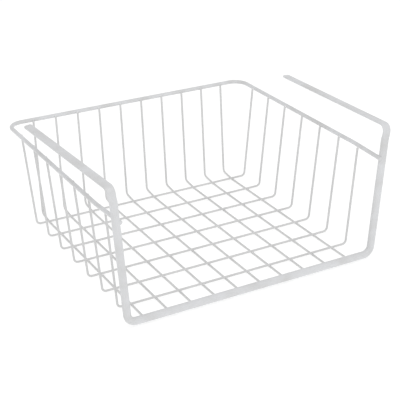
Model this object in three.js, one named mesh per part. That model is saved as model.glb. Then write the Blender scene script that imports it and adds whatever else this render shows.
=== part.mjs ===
import * as THREE from 'three';

// Under shelf basket of coated steel wire. Two pressed arms lie on top of a shelf board and carry
// the basket that hangs below it, open to the front. Millimetres, +Z up, +X to the right.
// While it is being built, y runs from the front rail's axis to the back and z from the surface
// that the floor wires stand on. The last lines move the origin to the middle of the outline.

// Wires, measured over the coating
const frameWire = 7.3;
const rimWire = 4.1;
const gridWire = 2.2;
const weldGap = 0.3;

// Basket
const basketDepth = 260.5;
const rimHeight = 106.3;
const rimHalfWidth = 138.8;
const rimDrawnInLength = 42.9;
const rimTipReach = 3.5;
const floorHalfWidth = 126.4;
const floorDepth = 249.5;
const floorWireCount = 10;
const floorWirePitch = 24.8;
const floorWireReach = 0.2;
const floorWireRise = 0.6;
const heelLength = 20;
const heelRise = 2.5;
const crossWireCount = 7;
const crossWirePitch = 32.6;
const firstCrossWire = 32.6;
const crossWireRise = 0.2;

// Hanger frame: rail, uprights and pressed arms
const railHalfWidth = 131.7;
const armHalfWidth = 142;
const armHeight = 138.4;
const armReach = 178.9;
const armDrop = 4.5;
const armSplay = 3.6;
const strapWidth = 8.4;
const strapThickness = 2.6;
const strapStepOut = 1.6;
const pressRamp = 4;
const tipCorner = 1.6;

// Bends, measured at the middle of the wire
const lowerCornerBend = 8.7;
const armBend = 6.5;
const rimBend = 15;
const rimDrawnInBend = 120;
const floorWireBend = 4;
const heelBend = 12;
const crossWireBend = 4.4;
const bendRoom = 1.1;
const bendSteps = 6;
const thickWireSides = 12;
const gridWireSides = 8;

const frameRadius = frameWire / 2;
const rimRadius = rimWire / 2;
const gridRadius = gridWire / 2;

// The floor wires lie lowest. The cross wires and the front rail are welded on top of them.
const floorWireLevel = gridRadius;
const crossWireLevel = floorWireLevel + gridWire + weldGap;
const railLevel = floorWireLevel + gridRadius + frameRadius + weldGap;

// How far the uprights lean out, per millimetre of height
const lean = (armHalfWidth - railHalfWidth) / (armHeight - railLevel);

// The wire is pressed flat over a short ramp that ends below the arm's bend
const strapStart = armHeight - armBend * bendRoom;
const shoulderHeight = strapStart - pressRamp;

function uprightAt(height) {
  return railHalfWidth + (height - railLevel) * lean;
}

// The rim is welded to the inner side of the uprights. Its sides run straight forward from the back
// and are drawn in over their last stretch to meet the uprights.
const rimFrontHalfWidth = uprightAt(rimHeight) - (frameRadius + rimRadius + weldGap) * Math.hypot(1, lean);

function rimSideAt(y) {
  const drawnIn = Math.max(1 - y / rimDrawnInLength, 0);
  return rimHalfWidth - (rimHalfWidth - rimFrontHalfWidth) * drawnIn;
}

function coatedSteel(colour) {
  return new THREE.MeshStandardMaterial({ color: colour, roughness: 0.38, metalness: 0 });
}

// Stations along a wire that runs straight between its corners and bends round the inner ones.
// Each corner is [x, y, z, bend radius], and the two ends have no bend.
function bentPath(corners) {
  const points = corners.map(([x, y, z]) => new THREE.Vector3(x, y, z));
  const runs = points.slice(1).map((point, i) => point.clone().sub(points[i]).normalize());
  const stations = [{ at: points[0], along: runs[0] }];
  for (let i = 1; i < points.length - 1; i += 1) {
    const radius = corners[i][3];
    const turn = runs[i - 1].angleTo(runs[i]);
    const axis = runs[i - 1].clone().cross(runs[i]).normalize();
    const start = points[i].clone().addScaledVector(runs[i - 1], -radius * Math.tan(turn / 2));
    const centre = start.clone().addScaledVector(axis.clone().cross(runs[i - 1]), radius);
    for (let step = 0; step <= bendSteps; step += 1) {
      const angle = (turn * step) / bendSteps;
      const at = start.clone().sub(centre).applyAxisAngle(axis, angle).add(centre);
      const along = runs[i - 1].clone().applyAxisAngle(axis, angle);
      stations.push({ at, along });
    }
  }
  stations.push({ at: points.at(-1), along: runs.at(-1) });
  return stations;
}

// Gives each station its section: a circle of this radius, drawn out sideways by stretch
function withSection(stations, radius, stretch = 0) {
  return stations.map((station) => ({ ...station, radius, stretch }));
}

// One closed skin round all the stations. A section's flats face the side direction, which is
// carried along the wire without twist, so the outermost flats give the wire's true size.
function sweep(stations, sides, firstSide) {
  const positions = [];
  const side = firstSide.clone();
  side.addScaledVector(stations[0].along, -side.dot(stations[0].along)).normalize();
  stations.forEach((station, i) => {
    const before = stations[Math.max(i - 1, 0)].along;
    side.applyQuaternion(new THREE.Quaternion().setFromUnitVectors(before, station.along));
    const across = station.along.clone().cross(side);
    for (let k = 0; k < sides; k += 1) {
      const angle = ((k + 0.5) / sides) * 2 * Math.PI;
      const reach = station.radius / Math.cos(Math.PI / sides);
      const sideways = reach * Math.cos(angle) + Math.sign(Math.cos(angle)) * station.stretch;
      const point = station.at.clone().addScaledVector(side, sideways);
      point.addScaledVector(across, reach * Math.sin(angle));
      positions.push(...point.toArray());
    }
  });
  const faces = [];
  for (let i = 0; i < stations.length - 1; i += 1) {
    for (let k = 0; k < sides; k += 1) {
      const here = i * sides + k;
      const next = i * sides + ((k + 1) % sides);
      faces.push(here, next, next + sides, here, next + sides, here + sides);
    }
  }
  const last = (stations.length - 1) * sides;
  for (let k = 1; k < sides - 1; k += 1) {
    faces.push(0, k + 1, k);
    faces.push(last, last + k, last + k + 1);
  }
  const geometry = new THREE.BufferGeometry();
  geometry.setAttribute('position', new THREE.Float32BufferAttribute(positions, 3));
  geometry.setIndex(faces);
  geometry.computeVertexNormals();
  return geometry;
}

function piece(name, geometry, colour) {
  const mesh = new THREE.Mesh(geometry, coatedSteel(colour));
  mesh.name = name;
  return mesh;
}

function mirrored(stations) {
  const flip = ({ x, y, z }) => new THREE.Vector3(-x, y, z);
  const copies = stations.map((s) => ({ ...s, at: flip(s.at), along: flip(s.along).negate() }));
  return copies.reverse();
}

// One thick wire: arm, upright, rail, upright, arm. Both arms are pressed flat from just below
// their upper bend to the tip, which is cut square with its corners taken off.
function hangerFrame() {
  const strapHalfWidth = armHalfWidth + strapStepOut;
  const strapPath = bentPath([
    [uprightAt(strapStart) + strapStepOut, 0, strapStart],
    [strapHalfWidth, 0, armHeight, armBend],
    [strapHalfWidth + armSplay, armReach, armHeight - armDrop],
  ]);
  const tip = strapPath.at(-1);
  const beforeTip = { at: tip.at.clone().addScaledVector(tip.along, -tipCorner), along: tip.along };
  const strapStretch = (strapWidth - strapThickness) / 2;
  const strap = withSection([...strapPath.slice(0, -1), beforeTip], strapThickness / 2, strapStretch);
  strap.push({ ...tip, radius: strapThickness / 2, stretch: strapStretch - tipCorner });
  const wire = withSection(
    bentPath([
      [-uprightAt(shoulderHeight), 0, shoulderHeight],
      [-railHalfWidth, 0, railLevel, lowerCornerBend],
      [railHalfWidth, 0, railLevel, lowerCornerBend],
      [uprightAt(shoulderHeight), 0, shoulderHeight],
    ]),
    frameRadius,
  );
  const inward = new THREE.Vector3(1, 0, lean);
  const geometry = sweep([...mirrored(strap), ...wire, ...strap], thickWireSides, inward);
  return piece('hanger_frame', geometry, 0xeceded);
}

// One medium wire along the left side, the back and the right side, past both uprights
function rimLoop() {
  const path = bentPath([
    [-rimSideAt(-rimTipReach), -rimTipReach, rimHeight],
    [-rimHalfWidth, rimDrawnInLength, rimHeight, rimDrawnInBend],
    [-rimHalfWidth, basketDepth, rimHeight, rimBend],
    [rimHalfWidth, basketDepth, rimHeight, rimBend],
    [rimHalfWidth, rimDrawnInLength, rimHeight, rimDrawnInBend],
    [rimSideAt(-rimTipReach), -rimTipReach, rimHeight],
  ]);
  const up = new THREE.Vector3(0, 0, 1);
  return piece('rim_wire', sweep(withSection(path, rimRadius), thickWireSides, up), 0xeceded);
}

// From under the front rail to the back and up to the inner side of the rim. At its heel, behind
// the last cross wire, the floor rises a little before the wire turns up.
function floorWire(number) {
  const x = (number - (floorWireCount + 1) / 2) * floorWirePitch;
  const seat = rimRadius + gridRadius + weldGap;
  const footLevel = floorWireLevel + heelRise;
  const rise = (rimHeight - footLevel) / (basketDepth - seat - floorDepth);
  const rimY = basketDepth - seat * Math.hypot(1, 1 / rise);
  const path = bentPath([
    [x, -floorWireReach, floorWireLevel],
    [x, floorDepth - heelLength, floorWireLevel, heelBend],
    [x, floorDepth, footLevel, floorWireBend],
    [x, rimY + floorWireRise / rise, rimHeight + floorWireRise],
  ]);
  const sideways = new THREE.Vector3(1, 0, 0);
  const geometry = sweep(withSection(path, gridRadius), gridWireSides, sideways);
  return piece(`floor_wire_${String(number).padStart(2, '0')}`, geometry, 0xe8e9e8);
}

// A U across the basket, with both ends welded to the inner side of the rim
function crossWire(number) {
  const y = firstCrossWire + (number - 1) * crossWirePitch;
  const seat = rimRadius + gridRadius + weldGap;
  const spread = (rimSideAt(y) - seat - floorHalfWidth) / (rimHeight - crossWireLevel);
  const topHalfWidth = rimSideAt(y) - seat * Math.hypot(1, spread);
  const tipHalfWidth = topHalfWidth + crossWireRise * spread;
  const tipHeight = rimHeight + crossWireRise;
  const path = bentPath([
    [-tipHalfWidth, y, tipHeight],
    [-floorHalfWidth, y, crossWireLevel, crossWireBend],
    [floorHalfWidth, y, crossWireLevel, crossWireBend],
    [tipHalfWidth, y, tipHeight],
  ]);
  const back = new THREE.Vector3(0, 1, 0);
  const geometry = sweep(withSection(path, gridRadius), gridWireSides, back);
  return piece(`cross_wire_${number}`, geometry, 0xe8e9e8);
}

const basket = new THREE.Group();
basket.add(hangerFrame());
basket.add(rimLoop());
for (let number = 1; number <= floorWireCount; number += 1) {
  basket.add(floorWire(number));
}
for (let number = 1; number <= crossWireCount; number += 1) {
  basket.add(crossWire(number));
}

// The origin is the middle of the outline, on the surface that the basket stands on
const outline = new THREE.Box3().setFromObject(basket);
const middle = outline.getCenter(new THREE.Vector3());
basket.position.set(-middle.x, -middle.y, -outline.min.z);

export default basket;
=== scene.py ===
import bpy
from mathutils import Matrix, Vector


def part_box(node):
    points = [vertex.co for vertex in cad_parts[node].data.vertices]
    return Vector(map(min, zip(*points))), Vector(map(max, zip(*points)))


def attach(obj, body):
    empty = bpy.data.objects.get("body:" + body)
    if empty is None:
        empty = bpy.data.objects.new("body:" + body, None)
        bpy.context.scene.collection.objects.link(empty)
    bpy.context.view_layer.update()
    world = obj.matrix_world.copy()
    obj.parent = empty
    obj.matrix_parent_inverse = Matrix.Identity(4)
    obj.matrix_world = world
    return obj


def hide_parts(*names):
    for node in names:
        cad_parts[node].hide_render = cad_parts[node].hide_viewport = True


bl_info = {
    "name": "Under Shelf Basket",
    "version": (1, 0, 0),
    "blender": (4, 5, 0),
    "location": "3D View > Sidebar > Basket",
    "description": "Dresses the frame of a coated wire basket that hangs below a shelf board",
    "category": "Object",
}

import math

import bmesh
import bpy
from bpy.props import FloatProperty, IntProperty, PointerProperty, StringProperty
from mathutils import Matrix, Vector

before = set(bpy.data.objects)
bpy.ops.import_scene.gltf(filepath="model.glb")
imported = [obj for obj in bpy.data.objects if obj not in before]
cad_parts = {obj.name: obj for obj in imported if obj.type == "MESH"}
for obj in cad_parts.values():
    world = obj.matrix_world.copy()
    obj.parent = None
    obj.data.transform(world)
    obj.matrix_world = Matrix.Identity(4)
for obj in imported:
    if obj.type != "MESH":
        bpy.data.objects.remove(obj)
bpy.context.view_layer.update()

X_AXIS = Vector((1, 0, 0))
Y_AXIS = Vector((0, 1, 0))
Z_AXIS = Vector((0, 0, 1))
NO_SHIFT = Vector((0, 0, 0))
IN_PLACE = Matrix.Identity(4)
MERGE_DISTANCE = 1e-6
SENSOR_WIDTH_MM = 36.0
VIEW_DEPTH = 100.0
WHITE = "#FFFFFF"
HANGER = "hanger_frame"
RIM = "rim_wire"
FLOOR_WIRES = sorted(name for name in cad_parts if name.startswith("floor_wire"))
CROSS_WIRES = sorted(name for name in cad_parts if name.startswith("cross_wire"))


def length(name, description, default):
    """A size in metres that the user can change"""
    return FloatProperty(
        name=name, description=description, default=default, min=0.0, precision=5,
        unit="LENGTH", subtype="DISTANCE",
    )


def angle(name, description, degrees):
    """An angle that the user can change, given here in degrees"""
    return FloatProperty(
        name=name, description=description, default=math.radians(degrees),
        unit="ROTATION", subtype="ANGLE",
    )


def number(name, description, default):
    """A plain number that the user can change"""
    return FloatProperty(name=name, description=description, default=default, min=0.0)


def count(name, description, default, least):
    """A whole number that the user can change"""
    return IntProperty(name=name, description=description, default=default, min=least)


def hex_colour(name, description, default):
    """An sRGB colour that the user can change, written as hex"""
    return StringProperty(name=name, description=description, default=default)


class WireSizes(bpy.types.PropertyGroup):
    """Sizes that all the wires share"""

    frame_wire: length("Frame wire", "Thickness of the hanger frame over its coating", 0.0073)
    thick_sides: count("Thick sides", "Sides of the hanger frame and the rim", 32, 8)
    grid_sides: count("Thin sides", "Sides of a thin wire", 16, 8)
    bend_steps: count("Bend steps", "Steps round each bend", 10, 3)
    end_steps: count("End steps", "Steps round the edge of a cut end", 3, 1)
    end_rounding: number("End rounding", "Share of a wire's radius that the coating rounds off there", 0.45)


class HangerSizes(bpy.types.PropertyGroup):
    """The hanger frame, bent from one thick wire with its two arms pressed flat"""

    rail_half_width: length("Rail half width", "Middle to the corner of rail and upright", 0.1317)
    arm_half_width: length("Arm half width", "Middle to the upright's line at the arm's height", 0.1420)
    arm_height: length("Arm height", "Base to the arm's middle at its upper bend", 0.13835)
    arm_reach: length("Arm reach", "From the uprights back to the arm's tip", 0.1789)
    arm_drop: length("Arm drop", "How much lower the tip lies than the upper bend", 0.0045)
    arm_splay: length("Arm splay", "How much further out the tip lies than the upper bend", 0.0036)
    strap_width: length("Strap width", "Width of the pressed arm", 0.0084)
    strap_thickness: length("Strap thickness", "Thickness of the pressed arm", 0.0026)
    strap_step_out: length("Strap step", "How far pressing pushes the arm outwards", 0.0009)
    press_ramp: length("Press ramp", "Length over which round wire turns into strap", 0.007)
    press_steps: count("Press steps", "Rings along the press ramp", 8, 2)
    tip_corner: length("Tip corner", "Radius of the tip's corners seen from above", 0.0022)
    tip_steps: count("Tip steps", "Rings round the tip's corners", 14, 4)
    lower_bend: length("Lower bend", "Radius of the bend between rail and upright", 0.0087)
    arm_bend: length("Arm bend", "Radius of the bend between upright and arm", 0.0065)
    bend_room: number("Bend room", "Room for the arm's bend, in bend radii", 1.1)


class BasketSizes(bpy.types.PropertyGroup):
    """The rim and the thin wires"""

    rim_front_half_width: length("Rim front", "Middle to the rim where it meets the upright", 0.1362)
    rim_tip_reach: length("Rim tip reach", "From the uprights' middle forward to the rim's tips", 0.0025)
    rim_drawn_in_length: length("Drawn-in length", "Length over which each side is drawn in", 0.0429)
    rim_drawn_in_bend: length("Drawn-in bend", "Radius of the soft bend where that begins", 0.12)
    rim_bend: length("Rim bend", "Radius of the rim's back corners", 0.015)
    back_wall_lean: angle("Back wall lean", "How far the back wall leans out", 4.20)
    floor_half_width: length("Floor half width", "Middle to the foot of the side walls", 0.1264)
    floor_wire_bend: length("Floor wire bend", "Radius between floor and back wall", 0.004)
    heel_length: length("Heel length", "Length over which the floor rises to the back wall's foot", 0.020)
    heel_rise: length("Heel rise", "How far it rises there", 0.0025)
    heel_bend: length("Heel bend", "Radius of the soft bend where that begins", 0.012)
    cross_wire_bend: length("Cross wire bend", "Radius between floor and side wall", 0.0044)


class WeldSizes(bpy.types.PropertyGroup):
    """The coating that fills the corners of a weld, and how welding pushes the thin wires"""

    neck: number("Neck", "Half width where the wires touch, in shares of the thinner radius", 0.85)
    spread: number("Spread", "How far it runs out along each wire, in the same shares", 1.7)
    depth: number("Depth", "How deep it reaches into each wire, in the same shares", 0.5)
    waist: number("Waist", "Half width inside each wire, in the same shares", 0.62)
    rim_press: length("Rim press", "How far welding pushes the top of a thin wire towards the rim", 0.0006)
    top_inset: length("Top inset", "How much of that top the weld takes up", 0.0006)
    rail_press: length("Rail press", "How far welding pushes a floor wire's end up into the rail", 0.0010)
    rail_run: length("Rail run", "Length over which that end comes down to the floor", 0.008)
    rail_run_bend: length("Rail run bend", "Radius of the soft bend there", 0.020)
    end_inset: length("End inset", "How much of a floor wire's end the weld takes up", 0.0010)
    sides: count("Sides", "Sides of one weld", 12, 6)
    rings: count("Rings", "Rings from its middle to one end", 3, 1)


class CoatingFinish(bpy.types.PropertyGroup):
    """White coating, baked on after welding"""

    thick_colour: hex_colour("Thick wires", "Coating colour of the hanger frame and the rim", "#D8D9DB")
    grid_colour: hex_colour("Thin wires", "Coating colour of the thin wires", "#D4D4D4")
    # Weld colour: painted light, a lighter tone that lifts the shade in the crevices where two wires cross
    weld_painted_light_colour: hex_colour("Welds", "Where the coating pools thickly in a weld", "#F4F4F4")
    thin_spot_colour: hex_colour("Thin spots", "Where the coating is thinner", "#CDCDCD")
    refraction: number("Refraction", "Index of refraction of the plastic", 1.5)
    roughness: number("Roughness", "Roughness of the coating", 0.36)
    roughness_swing: number("Roughness swing", "How much it varies", 0.08)
    peel_size: length("Orange peel", "Size of the coating's ripples, drawn coarse enough to show", 0.0024)
    peel_depth: length("Peel depth", "Depth of the ripples", 0.00006)
    peel_detail: number("Peel detail", "How many finer ripples lie on the large ones", 1.0)
    peel_contrast: number("Peel contrast", "Strength of the finer ripples", 0.4)
    patch_size: length("Patch size", "Size of the patches where the coating runs thinner", 0.022)
    patch_detail: number("Patch detail", "How ragged the patches are", 2.0)
    patch_contrast: number("Patch contrast", "Strength of the ragged edge", 0.5)
    patch_from: number("Patch from", "Noise value below which the coating is thinnest", 0.3)
    patch_to: number("Patch to", "Noise value above which the coating is full", 0.6)


class StageSettings(bpy.types.PropertyGroup):
    """Pale floor, soft light and the camera"""

    floor_colour: hex_colour("Floor", "Colour of the acrylic", "#B8B8B8")
    floor_roughness: number("Floor roughness", "Roughness of the acrylic", 0.9)
    floor_glow: number("Floor glow", "White light that comes up through the table", 0.62)
    floor_width: length("Floor width", "Side of the square floor", 12.0)
    surround: number("Surround", "Strength of the white surround", 0.75)
    key_power: number("Key power", "Power of the large soft light in watts", 8.6)
    key_size: length("Key size", "Side of the large soft light", 1.6)
    key_distance: length("Key distance", "Distance of the large soft light", 1.8)
    key_azimuth: angle("Key azimuth", "Direction of the large soft light", -12.0)
    key_elevation: angle("Key elevation", "Height of the large soft light", 62.0)
    azimuth: angle("Azimuth", "Where the camera stands round the basket", -29.101)
    elevation: angle("Elevation", "How high the camera stands", 25.160)
    roll: angle("Roll", "Tilt of the camera", -0.353)
    distance: length("Distance", "From the camera to the point it looks at", 1.08848)
    aim_left: length("Aim left", "How far the aim lies to the left of the middle", 0.00041)
    aim_forward: length("Aim forward", "How far the aim lies in front of the middle", 0.02469)
    aim_height: length("Aim height", "Height of the point that the camera looks at", 0.05207)
    lens: number("Lens", "Focal length in millimetres", 99.132)


def linear(srgb):
    """An sRGB hex colour as linear RGBA"""
    channels = [int(srgb[i:i + 2], 16) / 255 for i in (1, 3, 5)]
    return (*(c / 12.92 if c <= 0.04045 else ((c + 0.055) / 1.055) ** 2.4 for c in channels), 1.0)


def add_node(tree, kind, settings=None, inputs=None, links=None):
    """Adds a node, sets it up and links the given outputs into its inputs"""
    node = tree.nodes.new(kind)
    for name, value in (settings or {}).items():
        setattr(node, name, value)
    for name, value in (inputs or {}).items():
        node.inputs[name].default_value = value
    for name, output in (links or {}).items():
        tree.links.new(output, node.inputs[name])
    return node


def baked_white_coating(name, colour, finish):
    """Plastic powder melted and baked onto steel wire: it looks semi-gloss and softly rippled, and a
    little greyer where it ran thin"""
    material = bpy.data.materials.new(name)
    material.use_nodes = True
    tree = material.node_tree
    tree.nodes.clear()
    place = add_node(tree, "ShaderNodeTexCoord").outputs["Object"]
    patches = add_node(
        tree, "ShaderNodeTexNoise",
        inputs={
            "Scale": 1 / finish.patch_size,
            "Detail": finish.patch_detail,
            "Roughness": finish.patch_contrast,
        },
        links={"Vector": place},
    )
    thickness = add_node(
        tree, "ShaderNodeMapRange",
        inputs={"From Min": finish.patch_from, "From Max": finish.patch_to},
        links={"Value": patches.outputs["Fac"]},
    )
    tone = add_node(
        tree, "ShaderNodeMix",
        settings={"data_type": "RGBA"},
        inputs={"A": linear(finish.thin_spot_colour), "B": linear(colour)},
        links={"Factor": thickness.outputs["Result"]},
    )
    ripples = add_node(
        tree, "ShaderNodeTexNoise",
        inputs={
            "Scale": 1 / finish.peel_size,
            "Detail": finish.peel_detail,
            "Roughness": finish.peel_contrast,
        },
        links={"Vector": place},
    )
    sheen = add_node(
        tree, "ShaderNodeMapRange",
        inputs={
            "To Min": finish.roughness - finish.roughness_swing,
            "To Max": finish.roughness + finish.roughness_swing,
        },
        links={"Value": ripples.outputs["Fac"]},
    )
    bump = add_node(
        tree, "ShaderNodeBump",
        inputs={"Strength": 1.0, "Distance": finish.peel_depth},
        links={"Height": ripples.outputs["Fac"]},
    )
    shader = add_node(
        tree, "ShaderNodeBsdfPrincipled",
        inputs={"IOR": finish.refraction, "Metallic": 0.0},
        links={
            "Base Color": tone.outputs["Result"],
            "Roughness": sheen.outputs["Result"],
            "Normal": bump.outputs["Normal"],
        },
    )
    add_node(tree, "ShaderNodeOutputMaterial", links={"Surface": shader.outputs["BSDF"]})
    return material


def coating(name, colour):
    """The coating of that name, made the first time it is asked for"""
    found = bpy.data.materials.get(name)
    return found or baked_white_coating(name, colour, bpy.context.scene.coating_finish)


def thick_coating():
    """The coating of the hanger frame and the rim"""
    return coating("baked_white_coating_thick_wire", bpy.context.scene.coating_finish.thick_colour)


def grid_coating():
    """The coating of the thin wires"""
    return coating("baked_white_coating_thin_wire", bpy.context.scene.coating_finish.grid_colour)


def painted_light_weld_coating():
    """The same coating in the corners of a weld, painted whiter than the wires: painted light that lifts
    the shade in the crevices where two wires cross
    """
    return coating("baked_white_coating_weld_painted_light", bpy.context.scene.coating_finish.weld_painted_light_colour)


class OpenEnd:
    """The open end of a wire while it is fed, bent and pressed"""

    def __init__(self, bm, at, along, side, radius, sides):
        self.bm = bm
        self.at = at.copy()
        self.along = along.normalized()
        self.side = side.normalized()
        self.radius = radius
        self.stretch = 0.0
        place = self.space() @ Matrix.Rotation(math.pi / sides, 4, "Z")
        ring = bmesh.ops.create_circle(bm, radius=radius, segments=sides, matrix=place)
        self.verts = ring["verts"]
        self.edges = list({edge for vert in self.verts for edge in vert.link_edges})

    def space(self):
        """Place and axes of the end: side, across and along"""
        across = self.along.cross(self.side)
        axes = Matrix((self.side, across, self.along)).transposed().to_4x4()
        return Matrix.Translation(self.at) @ axes

    def keep(self, grown):
        """The newly grown ring becomes the end"""
        self.verts = [part for part in grown if isinstance(part, bmesh.types.BMVert)]
        fresh = set(self.verts)
        edges = [part for part in grown if isinstance(part, bmesh.types.BMEdge)]
        self.edges = [edge for edge in edges if fresh.issuperset(edge.verts)]

    def shift(self, step):
        """Feeds the wire by this step"""
        self.keep(bmesh.ops.extrude_edge_only(self.bm, edges=self.edges)["geom"])
        bmesh.ops.translate(self.bm, verts=self.verts, vec=step)
        self.at += step

    def feed(self, distance):
        """Feeds the wire straight on"""
        self.shift(self.along * distance)

    def bend(self, radius, turn, axis, steps):
        """Bends the wire round a former"""
        towards = axis.cross(self.along)
        centre = self.at + towards * radius
        grown = bmesh.ops.spin(
            self.bm, geom=self.verts + self.edges, cent=centre, axis=axis, dvec=NO_SHIFT, angle=turn,
            space=IN_PLACE, steps=steps, use_merge=False, use_normal_flip=False, use_duplicate=False,
        )
        self.keep(grown["geom_last"])
        rotation = Matrix.Rotation(turn, 3, axis)
        self.at = centre + rotation @ (self.at - centre)
        self.along = rotation @ self.along
        self.side = rotation @ self.side

    def shape(self, radius, stretch):
        """Gives the end a new section: a circle drawn out sideways by stretch"""
        space = self.space()
        home = space.inverted()
        left = [vert for vert in self.verts if (home @ vert.co).x < 0]
        right = [vert for vert in self.verts if (home @ vert.co).x > 0]
        bmesh.ops.translate(self.bm, verts=left, vec=self.side * self.stretch)
        bmesh.ops.translate(self.bm, verts=right, vec=-self.side * self.stretch)
        ratio = radius / self.radius
        bmesh.ops.scale(self.bm, verts=self.verts, vec=(ratio, ratio, 1.0), space=home)
        bmesh.ops.translate(self.bm, verts=left, vec=-self.side * stretch)
        bmesh.ops.translate(self.bm, verts=right, vec=self.side * stretch)
        self.radius = radius
        self.stretch = stretch

    def press(self, distance, radius, stretch, step_out, steps):
        """Feeds on while the section turns into another, pushed outwards by step_out"""
        start_radius = self.radius
        start_stretch = self.stretch
        done = 0.0
        for step in range(1, steps + 1):
            part = step / steps
            eased = part * part * (3 - 2 * part)
            self.shift(self.along * (distance / steps) + step_out * (eased - done))
            radius_now = start_radius + (radius - start_radius) * eased
            stretch_now = start_stretch + (stretch - start_stretch) * eased
            self.shape(radius_now, stretch_now)
            done = eased

    def round_corners(self, corner, edge, steps):
        """Rounds the corners of a flat end, seen on its wide face, and the edge of its cut"""
        full_radius = self.radius
        full_stretch = self.stretch
        for step in range(1, steps + 1):
            before = math.pi / 2 * (step - 1) / steps
            after = math.pi / 2 * step / steps
            self.feed(corner * (math.sin(after) - math.sin(before)))
            to_the_cut = corner * (1 - math.sin(after))
            inset = max(0.0, 1 - to_the_cut / edge)
            radius = full_radius - edge * (1 - math.sqrt(1 - inset * inset))
            self.shape(radius, full_stretch - corner * (1 - math.cos(after)))


def close_end(bm, edges, rounding):
    """Closes a cut end, with the sharp edge rounded as the coating rounds it"""
    steps = bpy.context.scene.wire_sizes.end_steps
    cap = bmesh.ops.edgeloop_fill(bm, edges=edges)["faces"]
    bmesh.ops.bevel(
        bm, geom=list(cap[0].edges), offset=rounding, offset_type="OFFSET", segments=steps, profile=0.5,
        affect="EDGES", material=-1,
    )


def mirror_half(bm):
    """Adds the left half of a wire whose right half starts in the middle plane"""
    everything = bm.verts[:] + bm.edges[:] + bm.faces[:]
    bmesh.ops.mirror(bm, geom=everything, matrix=IN_PLACE, merge_dist=MERGE_DISTANCE, axis="X")
    bmesh.ops.remove_doubles(bm, verts=bm.verts[:], dist=MERGE_DISTANCE)


def make_piece(name, bm, material, node=None):
    """Turns the finished mesh into a smooth coated piece that rides with the basket"""
    bmesh.ops.recalc_face_normals(bm, faces=bm.faces[:])
    for face in bm.faces:
        face.smooth = True
    mesh = bpy.data.meshes.new(name)
    bm.to_mesh(mesh)
    bm.free()
    mesh.materials.append(material)
    piece = bpy.data.objects.new(name, mesh)
    bpy.context.scene.collection.objects.link(piece)
    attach(piece, "root")
    if node:
        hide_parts(node)
    return piece


def hanger_layout():
    """Places on the right half of the hanger frame"""
    wires = bpy.context.scene.wire_sizes
    sizes = bpy.context.scene.hanger_sizes
    low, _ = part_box(HANGER)
    radius = wires.frame_wire / 2
    front = low.y + radius
    rail = Vector((sizes.rail_half_width, front, low.z + radius))
    top = Vector((sizes.arm_half_width, front, sizes.arm_height))
    upright = (top - rail).normalized()
    shoulder = top - upright * (sizes.arm_bend * sizes.bend_room + sizes.press_ramp)
    elbow = top + X_AXIS * sizes.strap_step_out
    tip = elbow + Vector((sizes.arm_splay, sizes.arm_reach, -sizes.arm_drop))
    return {
        "radius": radius,
        "rail": rail,
        "upright": upright,
        "shoulder": shoulder,
        "elbow": elbow,
        "tip": tip,
    }


def floor_wire_layout(name):
    """Places on one floor wire: its front end, pressed up against the rail, the place where it
    comes down to the floor, the heel where it rises again, the foot of the back wall and its top"""
    sizes = bpy.context.scene.basket_sizes
    welds = bpy.context.scene.weld_sizes
    lean = sizes.back_wall_lean
    low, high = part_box(name)
    radius = (high.x - low.x) / 2
    middle = (low.x + high.x) / 2
    level = low.z + radius
    foot_level = level + sizes.heel_rise
    start = Vector((middle, low.y + welds.end_inset, level + welds.rail_press))
    landing = Vector((middle, start.y + welds.rail_run, level))
    top = Vector((middle, high.y - radius * math.cos(lean), high.z - radius * math.sin(lean)))
    foot = Vector((middle, top.y - (top.z - foot_level) * math.tan(lean), foot_level))
    heel = Vector((middle, foot.y - sizes.heel_length, level))
    top += Vector((0, welds.rim_press, -welds.top_inset))
    return {
        "radius": radius,
        "start": start,
        "landing": landing,
        "heel": heel,
        "foot": foot,
        "top": top,
    }


def cross_wire_layout(name):
    """Places on the right half of one cross wire: its middle, the foot of the side wall and its top"""
    sizes = bpy.context.scene.basket_sizes
    welds = bpy.context.scene.weld_sizes
    low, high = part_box(name)
    radius = (high.y - low.y) / 2
    middle = Vector((0, (low.y + high.y) / 2, low.z + radius))
    foot = Vector((sizes.floor_half_width, middle.y, middle.z))
    lean = math.atan2(high.x - radius - foot.x, high.z - middle.z)
    top = Vector((high.x - radius * math.cos(lean), middle.y, high.z - radius * math.sin(lean)))
    top += Vector((welds.rim_press, 0, -welds.top_inset))
    return {"radius": radius, "middle": middle, "foot": foot, "top": top}


def rim_layout():
    """Places on the right half of the rim: the middle of its back, its back corner, the place where
    its side is drawn in, the upright that it meets and its front tip"""
    sizes = bpy.context.scene.basket_sizes
    low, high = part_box(RIM)
    radius = (high.z - low.z) / 2
    back = Vector((0, high.y - radius, low.z + radius))
    corner = Vector((high.x - radius, back.y, back.z))
    front = hanger_layout()["rail"].y
    drawn_in = Vector((corner.x, front + sizes.rim_drawn_in_length, back.z))
    meeting = Vector((sizes.rim_front_half_width, front, back.z))
    tip = meeting + (meeting - drawn_in).normalized() * sizes.rim_tip_reach
    return {
        "radius": radius,
        "back": back,
        "corner": corner,
        "drawn_in": drawn_in,
        "meeting": meeting,
        "tip": tip,
    }


def follow(end, corners, target, steps):
    """Feeds the wire through corners, each a place and a bend radius, and on to the target"""
    places = [place for place, radius in corners] + [target]
    for (corner, radius), after in zip(corners, places[1:]):
        onwards = (after - corner).normalized()
        turn = end.along.angle(onwards)
        axis = end.along.cross(onwards).normalized()
        end.feed((corner - end.at).length - radius * math.tan(turn / 2))
        end.bend(radius, turn, axis, steps)
    end.feed((target - end.at).length)


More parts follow.
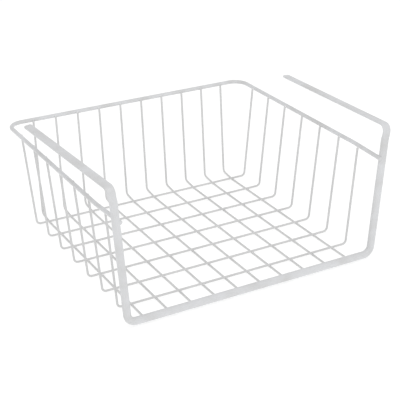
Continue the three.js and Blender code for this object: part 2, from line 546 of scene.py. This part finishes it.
class BASKET_OT_hanger_frame(bpy.types.Operator):
    """Bend the hanger frame from thick wire and press its arms flat"""

    bl_idname = "basket.hanger_frame"
    bl_label = "Hanger Frame"

    def execute(self, context):
        wires = context.scene.wire_sizes
        sizes = context.scene.hanger_sizes
        places = hanger_layout()
        bm = bmesh.new()
        rail_middle = Vector((0, places["rail"].y, places["rail"].z))
        end = OpenEnd(bm, rail_middle, X_AXIS, Z_AXIS, places["radius"], wires.thick_sides)
        follow(end, [(places["rail"], sizes.lower_bend)], places["shoulder"], wires.bend_steps)
        strap_radius = sizes.strap_thickness / 2
        strap_stretch = (sizes.strap_width - sizes.strap_thickness) / 2
        step_out = X_AXIS * sizes.strap_step_out
        end.press(sizes.press_ramp, strap_radius, strap_stretch, step_out, sizes.press_steps)
        tip = places["tip"]
        before_tip = tip + (places["elbow"] - tip).normalized() * sizes.tip_corner
        follow(end, [(places["elbow"], sizes.arm_bend)], before_tip, wires.bend_steps)
        end.round_corners(sizes.tip_corner, strap_radius * wires.end_rounding, sizes.tip_steps)
        bmesh.ops.edgeloop_fill(bm, edges=end.edges)
        mirror_half(bm)
        make_piece("hanger_frame_coated", bm, thick_coating(), HANGER)
        return {"FINISHED"}


class BASKET_OT_rim(bpy.types.Operator):
    """Bend the rim from medium wire"""

    bl_idname = "basket.rim"
    bl_label = "Rim"

    def execute(self, context):
        wires = context.scene.wire_sizes
        sizes = context.scene.basket_sizes
        places = rim_layout()
        bm = bmesh.new()
        end = OpenEnd(bm, places["back"], X_AXIS, Z_AXIS, places["radius"], wires.thick_sides)
        corners = [
            (places["corner"], sizes.rim_bend),
            (places["drawn_in"], sizes.rim_drawn_in_bend),
        ]
        follow(end, corners, places["tip"], wires.bend_steps)
        close_end(bm, end.edges, places["radius"] * wires.end_rounding)
        mirror_half(bm)
        make_piece("rim_wire_coated", bm, thick_coating(), RIM)
        return {"FINISHED"}


class BASKET_OT_floor_wires(bpy.types.Operator):
    """Bend the thin wires that make the floor and the back wall"""

    bl_idname = "basket.floor_wires"
    bl_label = "Floor Wires"

    def execute(self, context):
        wires = context.scene.wire_sizes
        sizes = context.scene.basket_sizes
        rail_run_bend = context.scene.weld_sizes.rail_run_bend
        for name in FLOOR_WIRES:
            places = floor_wire_layout(name)
            rounding = places["radius"] * wires.end_rounding
            corners = [
                (places["landing"], rail_run_bend),
                (places["heel"], sizes.heel_bend),
                (places["foot"], sizes.floor_wire_bend),
            ]
            bm = bmesh.new()
            start = places["start"]
            downwards = places["landing"] - start
            end = OpenEnd(bm, start, downwards, X_AXIS, places["radius"], wires.grid_sides)
            first_ring = end.edges
            follow(end, corners, places["top"], wires.bend_steps)
            close_end(bm, end.edges, rounding)
            close_end(bm, first_ring, rounding)
            make_piece(name + "_coated", bm, grid_coating(), name)
        return {"FINISHED"}


class BASKET_OT_cross_wires(bpy.types.Operator):
    """Bend the thin wires that cross the floor and make the side walls"""

    bl_idname = "basket.cross_wires"
    bl_label = "Cross Wires"

    def execute(self, context):
        wires = context.scene.wire_sizes
        bend = context.scene.basket_sizes.cross_wire_bend
        for name in CROSS_WIRES:
            places = cross_wire_layout(name)
            bm = bmesh.new()
            end = OpenEnd(bm, places["middle"], X_AXIS, Y_AXIS, places["radius"], wires.grid_sides)
            follow(end, [(places["foot"], bend)], places["top"], wires.bend_steps)
            close_end(bm, end.edges, places["radius"] * wires.end_rounding)
            mirror_half(bm)
            make_piece(name + "_coated", bm, grid_coating(), name)
        return {"FINISHED"}


def crossing(first, first_along, second, second_along):
    """The nearest points of two straight runs of wire"""
    normal = first_along.cross(second_along)
    gap = second - first
    t_first = gap.cross(second_along).dot(normal) / normal.length_squared
    t_second = gap.cross(first_along).dot(normal) / normal.length_squared
    return first + first_along * t_first, second + second_along * t_second


def add_weld(bm, run, other, run_ends_here):
    """Fills the corner between two runs of wire, each given as a point, a direction and a radius.
    The coating draws in to a neck between the wires and runs out along each of them, but not along
    a wire that ends at the weld, where it stays behind that end."""
    sizes = bpy.context.scene.weld_sizes
    point, run_along, radius = run
    other_point, other_along, other_radius = other
    thin = min(radius, other_radius)
    here, there = crossing(point, run_along, other_point, other_along)
    if run_ends_here:
        here -= run_along.normalized() * sizes.neck * thin
    towards = (there - here).normalized()
    surface = here + towards * radius
    other_surface = there - towards * other_radius
    middle = (surface + other_surface) / 2
    reach = (other_surface - surface).length / 2 + sizes.depth * thin
    end = OpenEnd(bm, middle - towards * reach, towards, run_along, thin, sizes.sides)
    bmesh.ops.edgeloop_fill(bm, edges=end.edges)
    for ring in range(-sizes.rings, sizes.rings + 1):
        part = ring / sizes.rings
        along = (run_along if part < 0 else other_along).normalized()
        if ring > -sizes.rings:
            end.feed(reach / sizes.rings)
        spread = sizes.neck if run_ends_here and part < 0 else sizes.spread
        half_length = thin * (sizes.neck + (spread - sizes.neck) * part * part)
        half_width = thin * (sizes.neck + (sizes.waist - sizes.neck) * part * part)
        end.side = (along - towards * along.dot(towards)).normalized()
        set_oval(bm, end, half_length, half_width)
    bmesh.ops.edgeloop_fill(bm, edges=end.edges)


def set_oval(bm, end, half_length, half_width):
    """Moves the end's ring onto an oval whose long axis is the end's side direction"""
    home = end.space().inverted()
    places = [home @ vert.co for vert in end.verts]
    widest = [max(abs(place[axis]) for place in places) for axis in (0, 1)]
    bmesh.ops.scale(
        bm, verts=end.verts, vec=(half_length / widest[0], half_width / widest[1], 1.0), space=home
    )


def floor_run(name):
    """The level run of a floor wire"""
    places = floor_wire_layout(name)
    return places["landing"], Y_AXIS, places["radius"]


def front_run(name):
    """The front end of a floor wire, under the rail"""
    places = floor_wire_layout(name)
    return places["start"], places["start"] - places["landing"], places["radius"]


def back_wall_run(name):
    """The run of a floor wire up the back wall"""
    places = floor_wire_layout(name)
    return places["foot"], places["top"] - places["foot"], places["radius"]


def cross_run(name):
    """The level run of a cross wire"""
    places = cross_wire_layout(name)
    return places["middle"], X_AXIS, places["radius"]


def side_wall_run(name):
    """The run of a cross wire up the right wall"""
    places = cross_wire_layout(name)
    return places["foot"], places["top"] - places["foot"], places["radius"]


def rim_at(name, rim):
    """The straight run of the rim that this cross wire meets"""
    drawn_in = cross_wire_layout(name)["middle"].y < rim["drawn_in"].y
    other = rim["meeting"] if drawn_in else rim["corner"]
    return rim["drawn_in"], other - rim["drawn_in"], rim["radius"]


class BASKET_OT_welds(bpy.types.Operator):
    """Fill the corners of all the welds with coating"""

    bl_idname = "basket.welds"
    bl_label = "Welds"

    def execute(self, context):
        hanger = hanger_layout()
        rim = rim_layout()
        rail = (hanger["rail"], X_AXIS, hanger["radius"])
        upright = (hanger["rail"], hanger["upright"], hanger["radius"])
        rim_back = (rim["back"], X_AXIS, rim["radius"])
        rim_front = (rim["meeting"], rim["tip"] - rim["meeting"], rim["radius"])
        floor_pairs = [
            (floor_run(name), cross_run(other))
            for name in FLOOR_WIRES
            for other in CROSS_WIRES
        ]
        groups = {
            "floor_welds": floor_pairs,
            "rail_welds": [(front_run(name), rail) for name in FLOOR_WIRES],
            "back_rim_welds": [(back_wall_run(name), rim_back) for name in FLOOR_WIRES],
            "side_rim_welds": [(side_wall_run(name), rim_at(name, rim)) for name in CROSS_WIRES],
            "upright_welds": [(rim_front, upright)],
        }
        for name, pairs in groups.items():
            bm = bmesh.new()
            for run, other in pairs:
                add_weld(bm, run, other, name != "floor_welds")
            if name in ("side_rim_welds", "upright_welds"):
                mirror_half(bm)
            # The welds get the painted-light coating, drawn lighter to lift the shade where the wires cross
            make_piece(name, bm, painted_light_weld_coating())
        return {"FINISHED"}


def white_surround(strength):
    """A plain white surround, so light comes softly from every side"""
    world = bpy.data.worlds.new("white_surround")
    world.use_nodes = True
    background = world.node_tree.nodes["Background"]
    background.inputs["Color"].default_value = linear(WHITE)
    background.inputs["Strength"].default_value = strength
    bpy.context.scene.world = world


def light_table(settings):
    """Matt white acrylic, lit from below so that shadows stay faint"""
    material = bpy.data.materials.new("matt_white_acrylic_table")
    material.use_nodes = True
    shader = material.node_tree.nodes["Principled BSDF"]
    shader.inputs["Base Color"].default_value = linear(settings.floor_colour)
    shader.inputs["Roughness"].default_value = settings.floor_roughness
    shader.inputs["Emission Color"].default_value = linear(WHITE)
    shader.inputs["Emission Strength"].default_value = settings.floor_glow
    bm = bmesh.new()
    bmesh.ops.create_grid(bm, x_segments=1, y_segments=1, size=settings.floor_width / 2)
    mesh = bpy.data.meshes.new("pale_floor")
    bm.to_mesh(mesh)
    bm.free()
    mesh.materials.append(material)
    floor = bpy.data.objects.new("pale_floor", mesh)
    bpy.context.scene.collection.objects.link(floor)


def direction(azimuth, elevation):
    """From the middle towards a place round the basket. Azimuth 0 is in front and grows to the right."""
    level = math.cos(elevation)
    return Vector((math.sin(azimuth) * level, -math.cos(azimuth) * level, math.sin(elevation)))


def soft_key_light(settings):
    """One large soft light above and to the side"""
    light = bpy.data.lights.new("soft_key", "AREA")
    light.shape = "SQUARE"
    light.size = settings.key_size
    light.energy = settings.key_power
    lamp = bpy.data.objects.new("soft_key", light)
    back = direction(settings.key_azimuth, settings.key_elevation)
    lamp.location = back * settings.key_distance
    lamp.rotation_mode = "QUATERNION"
    lamp.rotation_quaternion = (-back).to_track_quat("-Z", "Y")
    bpy.context.scene.collection.objects.link(lamp)


def camera(settings):
    """The camera at the photograph's viewing angle"""
    data = bpy.data.cameras.new("camera")
    data.lens = settings.lens
    data.sensor_width = SENSOR_WIDTH_MM
    data.clip_end = VIEW_DEPTH
    viewer = bpy.data.objects.new("camera", data)
    back = direction(settings.azimuth, settings.elevation)
    aim = Vector((-settings.aim_left, -settings.aim_forward, settings.aim_height))
    viewer.location = aim + back * settings.distance
    level_view = (-back).to_track_quat("-Z", "Y").to_matrix().to_4x4()
    rolled_view = level_view @ Matrix.Rotation(settings.roll, 4, "Z")
    viewer.rotation_mode = "QUATERNION"
    viewer.rotation_quaternion = rolled_view.to_quaternion()
    bpy.context.scene.collection.objects.link(viewer)
    bpy.context.scene.camera = viewer


class BASKET_OT_stage(bpy.types.Operator):
    """Set up the pale floor, the soft light and the camera"""

    bl_idname = "basket.stage"
    bl_label = "Stage"

    def execute(self, context):
        settings = context.scene.stage_settings
        context.scene.view_settings.view_transform = "Standard"
        white_surround(settings.surround)
        light_table(settings)
        soft_key_light(settings)
        camera(settings)
        return {"FINISHED"}


class BASKET_PT_panel(bpy.types.Panel):
    """All the steps and sizes of the basket"""

    bl_idname = "BASKET_PT_panel"
    bl_label = "Under Shelf Basket"
    bl_space_type = "VIEW_3D"
    bl_region_type = "UI"
    bl_category = "Basket"

    def draw(self, context):
        for name, group in GROUPS.items():
            box = self.layout.box()
            box.label(text=group.__doc__)
            settings = getattr(context.scene, name)
            for item in group.__annotations__:
                box.prop(settings, item)
        for operator in OPERATORS:
            self.layout.operator(operator.bl_idname)


GROUPS = {
    "wire_sizes": WireSizes,
    "hanger_sizes": HangerSizes,
    "basket_sizes": BasketSizes,
    "weld_sizes": WeldSizes,
    "coating_finish": CoatingFinish,
    "stage_settings": StageSettings,
}
OPERATORS = (
    BASKET_OT_stage,
    BASKET_OT_hanger_frame,
    BASKET_OT_rim,
    BASKET_OT_floor_wires,
    BASKET_OT_cross_wires,
    BASKET_OT_welds,
)


def register():
    """Adds the settings, the operators and the panel"""
    for name, group in GROUPS.items():
        bpy.utils.register_class(group)
        setattr(bpy.types.Scene, name, PointerProperty(type=group))
    for operator in OPERATORS:
        bpy.utils.register_class(operator)
    bpy.utils.register_class(BASKET_PT_panel)


def unregister():
    """Takes them all away again"""
    bpy.utils.unregister_class(BASKET_PT_panel)
    for operator in reversed(OPERATORS):
        bpy.utils.unregister_class(operator)
    for name, group in reversed(GROUPS.items()):
        delattr(bpy.types.Scene, name)
        bpy.utils.unregister_class(group)


def main():
    """Builds the whole scene in order"""
    register()
    bpy.ops.basket.stage()
    bpy.ops.basket.hanger_frame()
    bpy.ops.basket.rim()
    bpy.ops.basket.floor_wires()
    bpy.ops.basket.cross_wires()
    bpy.ops.basket.welds()


if __name__ == "__main__":
    main()
